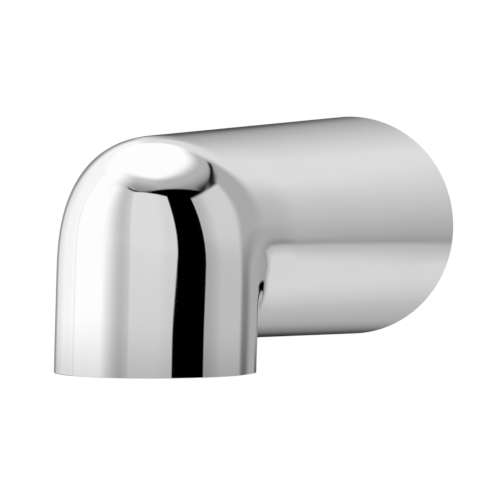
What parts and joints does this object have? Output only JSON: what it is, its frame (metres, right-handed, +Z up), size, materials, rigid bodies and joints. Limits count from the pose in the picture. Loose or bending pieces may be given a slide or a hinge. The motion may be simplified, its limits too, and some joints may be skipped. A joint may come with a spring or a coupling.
{
  "type": "bath spout",
  "caption": "Wall-mounted chromed bath spout: a round tapered body turns through a smooth elbow into a short drop with a level outlet and a recessed aerator.",
  "frame": {"origin": "centre of the foot on the wall, where the inlet axis crosses the wall face", "axes": "+Y into the wall along the inlet axis, +Z up, the spout runs along -Y"},
  "size_m": [0.0614, 0.1851, 0.0637],
  "materials": {
    "chrome": "polished chrome plate",
    "brass": "turned brass",
    "rubber": "moulded rubber",
    "steel": "stainless steel",
    "plastic": "moulded plastic"
  },
  "bodies": {
    "root": {"spout_body": "chrome", "inlet_nipple": "brass", "inlet_oring_rear": "rubber", "inlet_oring_front": "rubber", "grub_screw": "steel", "wall_seal": "rubber", "aerator_housing": "chrome", "aerator_seal": "rubber", "aerator_strainer": "plastic", "aerator_jet_plate": "plastic", "flow_straightener": "plastic"}
  },
  "joints": []
}
